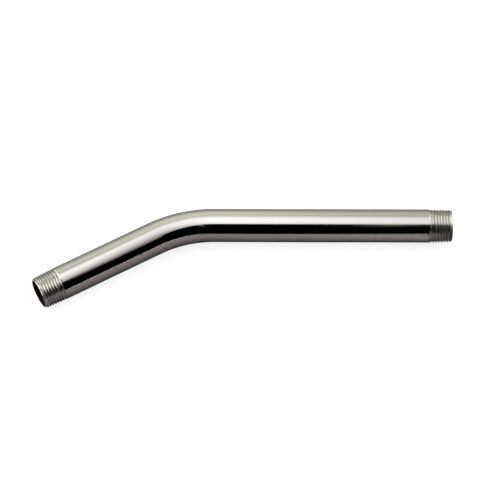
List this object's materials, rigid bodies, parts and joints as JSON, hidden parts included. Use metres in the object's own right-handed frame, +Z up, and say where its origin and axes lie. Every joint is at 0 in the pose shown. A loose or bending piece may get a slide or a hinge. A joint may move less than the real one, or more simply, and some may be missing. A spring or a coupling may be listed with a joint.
{
  "type": "shower arm",
  "caption": "Bent one-piece shower arm: polished plated tube with a shallow bend and a tapered male pipe thread at each end, carrying water from the wall to a shower head.",
  "frame": {"origin": "centre of the end face that screws into the wall fitting", "axes": "+X along the wall leg's axis, out of its threaded end towards the wall; the arm runs to -X and bends towards -Y; +Z is up with the arm lying on its side"},
  "size_m": [0.2665, 0.0706, 0.0212],
  "materials": {
    "plated_brass": "polished nickel plating over brass, bright and slightly warm"
  },
  "bodies": {
    "root": {"shower_arm": "plated_brass"}
  },
  "joints": []
}
